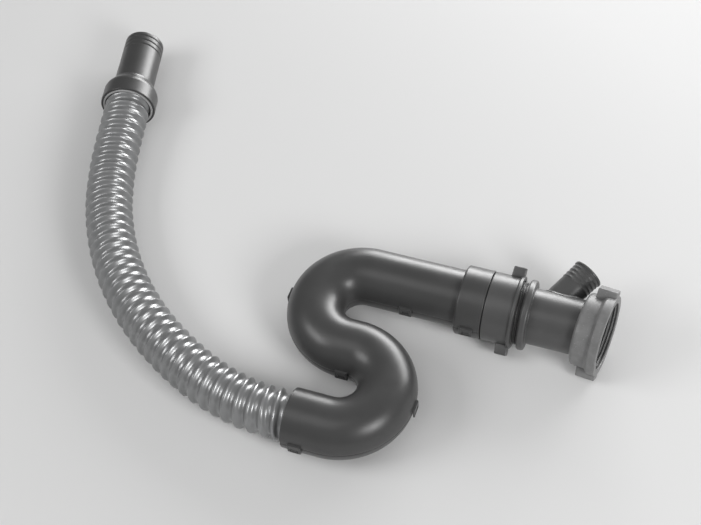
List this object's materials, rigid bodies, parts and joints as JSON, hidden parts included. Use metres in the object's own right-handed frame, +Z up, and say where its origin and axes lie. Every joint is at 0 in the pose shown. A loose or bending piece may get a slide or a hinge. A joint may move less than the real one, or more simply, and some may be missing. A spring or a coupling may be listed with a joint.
{
  "type": "p trap",
  "caption": "S-shaped drain trap: clamshell bend around a corrugated hose, with a screwed waste inlet, a side spigot and a hose outlet ending in a push-in nozzle.",
  "frame": {"origin": "floor level below the centre of the trap's box, without the loose hose and its nozzle, as the trap lies on its side", "axes": "+X along the inlet towards the union nut (rising 2.3 degrees, because the nut's rim is wider than the bend), +Z up from the floor the trap lies on, the S-bend in the XY plane"},
  "size_m": [0.4517, 0.324, 0.0593],
  "materials": {
    "shell_plastic": "satin moulded plastic, dark grey",
    "fitting_plastic": "satin moulded plastic, dark grey",
    "nut_plastic": "satin moulded plastic, slightly lighter grey",
    "hose_plastic": "glossy silver-grey corrugated hose",
    "ring_plastic": "pale grey moulded plastic",
    "rubber": "black rubber"
  },
  "bodies": {
    "trap": {"shell_upper": "shell_plastic", "shell_lower": "shell_plastic", "hose_in_trap": "hose_plastic", "hose_end_collar": "fitting_plastic", "hose_seal": "rubber", "drain_hose": "hose_plastic", "nozzle_ring": "ring_plastic", "nozzle_seal": "rubber"},
    "coupling_nut": {"coupling_nut": "fitting_plastic"},
    "coupling_gasket": {"coupling_gasket": "rubber"},
    "tailpiece": {"tailpiece": "fitting_plastic", "union_washer": "rubber"},
    "union_slip_ring": {"union_slip_ring": "ring_plastic"},
    "union_nut": {"union_nut": "nut_plastic"},
    "outlet_nozzle": {"outlet_nozzle": "fitting_plastic"}
  },
  "joints": [
    {"name": "coupling_nut_turn", "type": "hinge", "parent": "trap", "child": "coupling_nut", "pos_m": [0.03975, 0.05233, 0.0265], "axis": [-0.9992, 0, -0.0398], "range_deg": [0, 1800]},
    {"name": "tailpiece_travel", "type": "slide", "parent": "trap", "child": "coupling_gasket", "axis": [0.9992, 0, 0.0398], "range_m": [0, 0.0075]},
    {"name": "tailpiece_swivel", "type": "hinge", "parent": "coupling_gasket", "child": "tailpiece", "pos_m": [0.05973, 0.05233, 0.02729], "axis": [0.9992, 0, 0.0398], "continuous": true},
    {"name": "union_nut_slide", "type": "slide", "parent": "tailpiece", "child": "union_slip_ring", "axis": [0.9992, 0, 0.0398], "range_m": [0, 0.003]},
    {"name": "union_nut_spin", "type": "hinge", "parent": "union_slip_ring", "child": "union_nut", "pos_m": [0.09291, 0.05233, 0.02861], "axis": [0.9908, -0.1131, 0.0743], "continuous": true},
    {"name": "nozzle_swivel", "type": "hinge", "parent": "trap", "child": "outlet_nozzle", "pos_m": [-0.30423, 0.1515, 0.0223], "axis": [-0.2319, 0.9727, 0], "continuous": true}
  ],
  "couplings": [
    {"joint": "tailpiece_travel", "follows": "coupling_nut_turn", "m_per_rad": 0.00023873}
  ]
}
